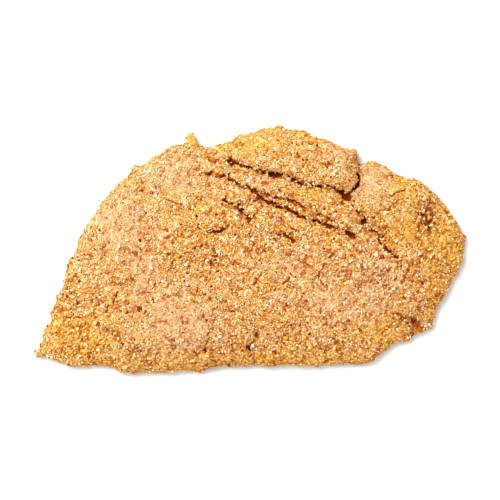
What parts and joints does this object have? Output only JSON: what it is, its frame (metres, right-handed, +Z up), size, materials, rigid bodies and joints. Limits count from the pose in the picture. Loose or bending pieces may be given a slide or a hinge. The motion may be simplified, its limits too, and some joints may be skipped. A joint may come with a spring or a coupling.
{
  "type": "schnitzel",
  "caption": "Crumbed schnitzel: a flattened slice of meat in a fine breadcrumb coat, pointed at one end, cracked, with a flap folded over along one side. It lies flat.",
  "frame": {"origin": "under the middle of the bounding box, on the surface that the slice lies on", "axes": "+X along the slice, away from its pointed tip; +Y across it, towards the flap; +Z up"},
  "size_m": [0.1686, 0.0968, 0.0117],
  "materials": {
    "crumb_coat": "dry, rough coat of fine golden breadcrumbs, no gloss"
  },
  "bodies": {
    "root": {"schnitzel": "crumb_coat"}
  },
  "joints": []
}
